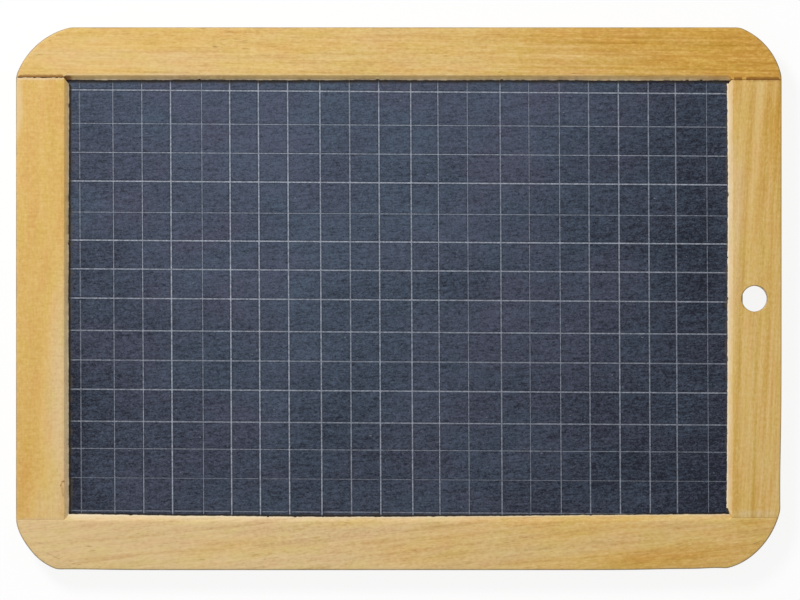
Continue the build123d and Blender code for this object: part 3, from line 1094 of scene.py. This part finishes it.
def wood_finish(name, look, turn, colours):
    """Varnished softwood: rings, fibres, dashes and flecks over its base, with bare edges, dirty joints
    and painted shade along its edges.
    """
    finish = Finish(name)
    places = finish.board_places(turn + math.radians(look.lean))
    board = finish.board_places()
    board_x, _, board_z = finish.split(board)
    base, lit = varnished_base(finish, board, places, look, colours)
    rings = growth_rings(finish, places, look)
    patches = finish.ease(finish.noise(places, (40, 8, 8), 2.0), 0.38, 0.62, 0.25, 1.0)
    rings = finish.minus(finish.times(rings, patches), 0.12)
    tone = finish.times(rings, finish.ease(board_x, 20, 90, *look.rings))
    if look.lines:
        shown = finish.ease(board_x, 0, 70)
        lines = finish.times(late_lines(finish, finish.board_places(turn), look), shown)
        base = finish.blend(lines, base, rgba(colours.late_line), "MULTIPLY")
        tone = finish.minus(tone, finish.times(shown, 0.07))
    fibre_width, fibre_strength = look.fibres
    fibres = finish.noise(places, (30, fibre_width, fibre_width), 3.0, 0.6)
    mark_length, mark_width, mark_strength = look.grain
    dashes = finish.noise(places, (mark_length, mark_width, mark_width), 1.0, 0.5)
    strokes = finish.noise(places, (9, 0.9, 0.9), 2.0, 0.55)
    chatter = finish.noise(places, (0.7, 3.0, 3.0), 2.0, 0.6, 0.3)
    layers = ((fibres, fibre_strength), (dashes, mark_strength))
    for layer, strength in (*layers, (strokes, look.strokes), (chatter, look.chatter)):
        tone = finish.add(tone, finish.swing(layer, 0.3, strength))
    tone = finish.times(tone, finish.ease(board_x, -105, -30, look.calm, 1.0))
    base = finish.blend(finish.span(tone, 0, 1), base, rgba(colours.late_wood))
    base = finish.blend(finish.span(tone, 0, -1), base, lit)
    specks = finish.noise(places, (2.6, 0.34, 0.34), 2.0, 0.6)
    swarm = finish.ease(finish.noise(places, (24, 6, 6), 2.0), 0.45, 0.66)
    flecks = finish.times(finish.ease(specks, 0.58, 0.74), swarm)
    flecks = finish.times(flecks, look.flecks)
    streaked = finish.span(dashes, 0.3, 0.6, 0.5, 1.0)
    for spot in look.spots:
        blot = finish.times(oval(finish, board, spot, core=0.2), streaked)
        flecks = finish.add(flecks, blot)
    base = finish.blend(flecks, base, rgba(colours.fleck))
    near_face = finish.ease(board_z, THICKNESS / MM - 3, THICKNESS / MM - 0.6)
    for place in look.worn:
        rubbed = finish.times(oval(finish, board, place, core=0.55), near_face)
        base = finish.blend(rubbed, base, rgba(colours.worn_wood))
    ends = finish.times(finish.mark("end"), 0.6)
    base = finish.blend(ends, base, rgba(colours.end_wood))
    tufts = finish.swing(finish.noise(places, (1.8, 0.3, 0.3), 3.0, 0.6), 0.25, 0.3)
    scuffs = finish.swing(finish.noise(board, (7, 7, 7), 2.0), 0.2, 0.2)
    bare = finish.add(finish.add(tufts, scuffs), 1.0)
    bare = finish.times(finish.mark("bare"), bare)
    base = finish.blend(finish.span(bare, 0.05, 1), base, rgba(colours.bare_wood))
    dirt = finish.add(finish.mark("grime"), finish.times(tufts, 0.5))
    base = finish.blend(finish.ease(dirt, 0.05, 0.65, 0.0, 0.85), base, rgba(colours.grime))
    # Painted shade, made patchy: on the outer edges, along the lips' edges over the slate and down the
    # hanging hole
    patchy = finish.add(finish.times(scuffs, 1.5), 1.0)
    shade_share = finish.times(finish.mark("handled"), patchy)
    shade_share = finish.add(shade_share, finish.times(tufts, 0.4))
    base = finish.blend(finish.ease(shade_share, 0.15, 1.1, 0.0, 0.85), base, rgba(colours.handled))
    gloss = finish.add(finish.span(fibres, 0.3, 0.7, 0.38, 0.5), finish.times(bare, 0.3))
    grain = finish.add(fibres, finish.times(dashes, 0.5))
    relief = finish.relief(finish.add(grain, finish.times(chatter, 0.4)))
    finish.dress({"Base Color": base, "Roughness": gloss, "Normal": relief, **VARNISH})
    return finish.material


# The angle at which the slate's cleavage lies across the board
CLEAVAGE_LEAN = math.radians(4)

# How much wiped chalk and painted sheen the slate shows at the board's middle, and what a
# millimetre up adds to it
CHALK_AND_SHEEN_AT_MIDDLE = 0.57
CHALK_AND_SHEEN_RISE = 0.0022

# Where more or less chalk has been wiped into the slate: ovals like those of the wood
WIPED = (
    (-40, -6, 33, 78, 0, 0.12), (-92, -7, 26, 30, 0, -0.09), (17, 4, 20, 55, 0, -0.07),
    (92, -42, 26, 50, 0, 0.08), (2, -60, 26, 18, 0, -0.08), (-108.5, -38, 6, 44, 0, -0.22),
    (74, -68, 34, 7, 0, 0.2), (-53, -70, 28, 5, 0, 0.15), (80, -3, 16, 48, 0, 0.1),
    (103, 5, 5, 50, 0, -0.1), (-108, -63, 7, 13, 0, -0.22), (-107, -4, 5, 8, 0, -0.15),
    (97, 22, 12, 60, 0, -0.06),
)

# Where the slate is at its greenest, below 0, and at its reddest, as ovals
SLATE_HUES = ((-10, 4, 48, 85, 0, -0.6), (-78, -52, 42, 30, 0, 0.6), (-95, 60, 25, 25, 0, -0.4))

# How the painted shade in the gap over the bottom lip bows up towards its ends: millimetres for a
# millimetre squared
GAP_SHADE_BOW = 7.2e-5


def slate_finish(name, colours):
    """Honed slate: wiped chalk with painted sheen, cleavage, mottle, grit, scribed lines with dark edges,
    a dusty rim and painted shade in the gap over the bottom lip.
    """
    finish = Finish(name)
    places = finish.board_places(CLEAVAGE_LEAN)
    board = finish.board_places()
    board_x, board_y, _ = finish.split(board)
    # Wiped chalk and painted sheen: lighter towards the top, darker towards the right end and the left
    # edge
    chalk_and_sheen = finish.math("MULTIPLY_ADD", board_y, CHALK_AND_SHEEN_RISE, CHALK_AND_SHEEN_AT_MIDDLE)
    chalk_and_sheen = finish.add(chalk_and_sheen, finish.ease(board_x, 20, 105, 0.0, -0.31))
    chalk_and_sheen = finish.add(chalk_and_sheen, finish.ease(board_x, -70, -110, 0.0, -0.1))
    chalk_and_sheen = with_ovals(finish, board, chalk_and_sheen, WIPED)
    wiped = finish.swing(finish.noise(places, (40, 20, 20), 3.0, 0.55), 0.2, 0.1)
    cleavage = finish.swing(finish.noise(places, (9, 0.5, 0.5), 2.0, 0.55), 0.25, 0.17)
    mottle = finish.swing(finish.noise(places, (1.3, 0.75, 0.75), 3.0, 0.6, 0.4), 0.25, 0.36)
    grit = finish.swing(finish.noise(board, (0.5, 0.36, 0.5), 2.0, 0.6), 0.25, 0.4)
    texture = finish.add(finish.add(cleavage, mottle), grit)
    chalk_and_sheen = finish.add(finish.add(chalk_and_sheen, wiped), texture)
    hue = finish.ease(finish.noise(board, (22, 14, 14), 2.0, 0.5), 0.34, 0.66)
    hue = with_ovals(finish, board, hue, SLATE_HUES, core=0.2)
    chalky = finish.blend(hue, rgba(colours.teal_slate), rgba(colours.plum_slate))
    base = finish.blend(finish.span(chalk_and_sheen, 0, 1), rgba(colours.dark_slate), chalky)
    chips = finish.ease(finish.noise(places, (1.5, 0.7, 0.7), 1.0, 0.5), 0.75, 0.82, 0.0, 0.4)
    base = finish.blend(chips, base, rgba(colours.scribed))
    breaks = finish.ease(finish.noise(board, (0.65, 0.65, 0.65), 2.0, 0.6), 0.3, 0.7, 0.4, 1.0)
    ruling = finish.mark("bruise")
    base = finish.blend(finish.span(ruling, 0, -1), base, rgba(colours.dark_slate))
    lines = finish.times(finish.span(ruling, 0, 1), breaks)
    base = finish.blend(lines, base, rgba(colours.scribed))
    side = finish.minus(SIGHT_LENGTH / MM, finish.math("ABSOLUTE", board_x))
    brow = finish.minus(SIGHT_HEIGHT / MM, finish.math("ABSOLUTE", board_y))
    inset = finish.math("MINIMUM", side, brow)
    ragged = finish.swing(finish.noise(board, (3, 3, 3), 3.0), 0.2, 0.5)
    rim = finish.ease(finish.add(inset, ragged), 1.0, 0.1, 0.0, 0.62)
    base = finish.blend(rim, base, rgba(colours.dust))
    # Painted shade in the gap where the slate goes in under the bottom lip, bowing up towards its ends
    bowed = finish.times(finish.times(board_x, board_x), GAP_SHADE_BOW)
    gap_shade = finish.minus(finish.add(board_y, SIGHT_HEIGHT / MM), bowed)
    gap_shade = finish.add(gap_shade, finish.times(ragged, 0.35))
    base = finish.blend(finish.ease(gap_shade, 0.68, 0.33, 0.0, 0.85), base, rgba(colours.gap))
    gloss = finish.span(chalk_and_sheen, 0, 1, 0.55, 0.72)
    relief = finish.relief(texture)
    finish.dress({"Base Color": base, "Roughness": gloss, "Normal": relief, **HONED_STONE})
    return finish.material


def seen_straight(finish):
    """1 for rays from the camera, off gloss or through glass, and 0 for light that falls on things."""
    path = finish.node("ShaderNodeLightPath").outputs
    mirrored = finish.math("MAXIMUM", path["Is Glossy Ray"], path["Is Transmission Ray"])
    return finish.math("MAXIMUM", path["Is Camera Ray"], mirrored)


def floor_finish(colours):
    """A pale floor that shows white to the eye and in reflections, yet keeps a soft shadow."""
    finish = Finish("pale_floor")
    finish.dress({"Base Color": rgba(colours.floor), "Roughness": 0.9})
    glow = finish.node("ShaderNodeEmission", {"Color": rgba(WHITE), "Strength": 1.0})
    share = finish.times(seen_straight(finish), FLOOR_WHITE)
    mix = finish.node("ShaderNodeMixShader", {0: share, 1: finish.shader.outputs[0], 2: glow.outputs[0]})
    finish.feed(finish.tree.nodes["Material Output"].inputs["Surface"], mix.outputs[0])
    return finish.material


class WorldFinish(Finish):
    """The same short forms for the world's nodes."""

    def __init__(self, name):
        self.world = bpy.data.worlds.new(name)
        self.world.use_nodes = True
        self.tree = self.world.node_tree


def studio_world():
    """White to the eye, and a plain even fill on the object."""
    finish = WorldFinish("studio_world")
    light = finish.tree.nodes["Background"]
    light.inputs["Color"].default_value = rgba(WHITE)
    light.inputs["Strength"].default_value = FILL_LIGHT
    white = finish.node("ShaderNodeBackground", {"Color": rgba(WHITE), "Strength": 1.0})
    inputs = {0: seen_straight(finish), 1: light.outputs[0], 2: white.outputs[0]}
    mix = finish.node("ShaderNodeMixShader", inputs)
    finish.feed(finish.tree.nodes["World Output"].inputs["Surface"], mix.outputs[0])
    return finish.world


def window_lamp():
    """A soft round lamp that shines on the board from its upper left."""
    lamp = bpy.data.lights.new("window", "AREA")
    lamp.shape = "DISK"
    lamp.size = WINDOW_BREADTH
    lamp.energy = WINDOW_POWER
    holder = bpy.data.objects.new("window", lamp)
    holder.location = WINDOW_PLACE
    holder.rotation_euler = (-Vector(WINDOW_PLACE)).to_track_quat("-Z", "Y").to_euler()
    holder.visible_camera = False
    return holder


def overhead_camera():
    """A camera straight over the board, as wide at the board's face as the picture is."""
    camera = bpy.data.cameras.new("camera")
    camera.sensor_width = 36.0
    camera.lens = camera.sensor_width * (CAMERA_HEIGHT - THICKNESS) / PICTURE_WIDTH
    camera.clip_end = 100.0
    eye = bpy.data.objects.new("camera", camera)
    eye.location = (*PICTURE_CENTRE, CAMERA_HEIGHT)
    return eye


def floor_object(colours):
    """A flat square floor under the board."""
    mesh = bpy.data.meshes.new("floor")
    corners = [(x * FLOOR_REACH, y * FLOOR_REACH, 0) for x, y in ((-1, -1), (1, -1), (1, 1), (-1, 1))]
    mesh.from_pydata(corners, [], [(0, 1, 2, 3)])
    mesh.materials.append(floor_finish(colours))
    return bpy.data.objects.new("floor", mesh)


class SLATEBOARD_OT_rails(bpy.types.Operator):
    """Add the top and bottom rails"""

    bl_idname = "slateboard.rails"
    bl_label = "Add rails"

    def execute(self, context):
        sizes, colours = context.scene.slate_sizes, context.scene.slate_colours
        for number, (node, member) in enumerate(RAILS.items()):
            finish = wood_finish(node + "_pine", WOOD_LOOKS[node], 0.0, colours)
            stations = rail_stations(sizes, member, sizes.seed + SEED_STEP * number)
            member_object(node + "_wood", node, sizes, stations, member.turn, SIGHT_HEIGHT, finish)
        return {"FINISHED"}


class SLATEBOARD_OT_stiles(bpy.types.Operator):
    """Add the left stile and the right stile with its hanging hole"""

    bl_idname = "slateboard.stiles"
    bl_label = "Add stiles"

    def execute(self, context):
        sizes, colours = context.scene.slate_sizes, context.scene.slate_colours
        for number, (node, member) in enumerate(STILES.items()):
            finish = wood_finish(node + "_pine", WOOD_LOOKS[node], math.pi / 2, colours)
            holed = node == "right_stile"
            seed = sizes.seed + STILE_SEED + SEED_STEP * number
            stations = stile_stations(sizes, member, holed, seed)
            member_object(node + "_wood", node, sizes, stations, member.turn, SIGHT_LENGTH, finish)
        return {"FINISHED"}


class SLATEBOARD_OT_slate(bpy.types.Operator):
    """Add the ruled slate"""

    bl_idname = "slateboard.slate"
    bl_label = "Add slate"

    def execute(self, context):
        sizes, colours = context.scene.slate_sizes, context.scene.slate_colours
        slate_object("ruled_slate", sizes, slate_finish("honed_slate", colours))
        return {"FINISHED"}


class SLATEBOARD_OT_stage(bpy.types.Operator):
    """Set the floor, the light and the camera"""

    bl_idname = "slateboard.stage"
    bl_label = "Set stage"

    def execute(self, context):
        scene = context.scene
        floor, window, eye = floor_object(scene.slate_colours), window_lamp(), overhead_camera()
        for each in (floor, window, eye):
            scene.collection.objects.link(each)
        scene.world = studio_world()
        scene.camera = eye
        scene.view_settings.view_transform = "Standard"
        return {"FINISHED"}


class SLATEBOARD_PT_panel(bpy.types.Panel):
    """Lists the board's pieces, sizes and colours in the sidebar"""

    bl_label = "Framed school slate"
    bl_idname = "SLATEBOARD_PT_panel"
    bl_space_type = "VIEW_3D"
    bl_region_type = "UI"
    bl_category = "Slate"

    def draw(self, context):
        for operator in OPERATORS:
            self.layout.operator(operator.bl_idname)
        for group in (context.scene.slate_sizes, context.scene.slate_colours):
            for name in group.__annotations__:
                self.layout.prop(group, name)


OPERATORS = (SLATEBOARD_OT_rails, SLATEBOARD_OT_stiles, SLATEBOARD_OT_slate, SLATEBOARD_OT_stage)
CLASSES = (SlateBoardSizes, SlateBoardColours, *OPERATORS, SLATEBOARD_PT_panel)


def register():
    """Adds the classes, and the sizes and colours that every scene then has."""
    for each in CLASSES:
        bpy.utils.register_class(each)
    bpy.types.Scene.slate_sizes = PointerProperty(type=SlateBoardSizes)
    bpy.types.Scene.slate_colours = PointerProperty(type=SlateBoardColours)


def unregister():
    """Takes out what register adds."""
    del bpy.types.Scene.slate_colours
    del bpy.types.Scene.slate_sizes
    for each in reversed(CLASSES):
        bpy.utils.unregister_class(each)


def main():
    """Makes the board and its stage."""
    register()
    bpy.ops.slateboard.rails()
    bpy.ops.slateboard.stiles()
    bpy.ops.slateboard.slate()
    bpy.ops.slateboard.stage()


if __name__ == "__main__":
    main()
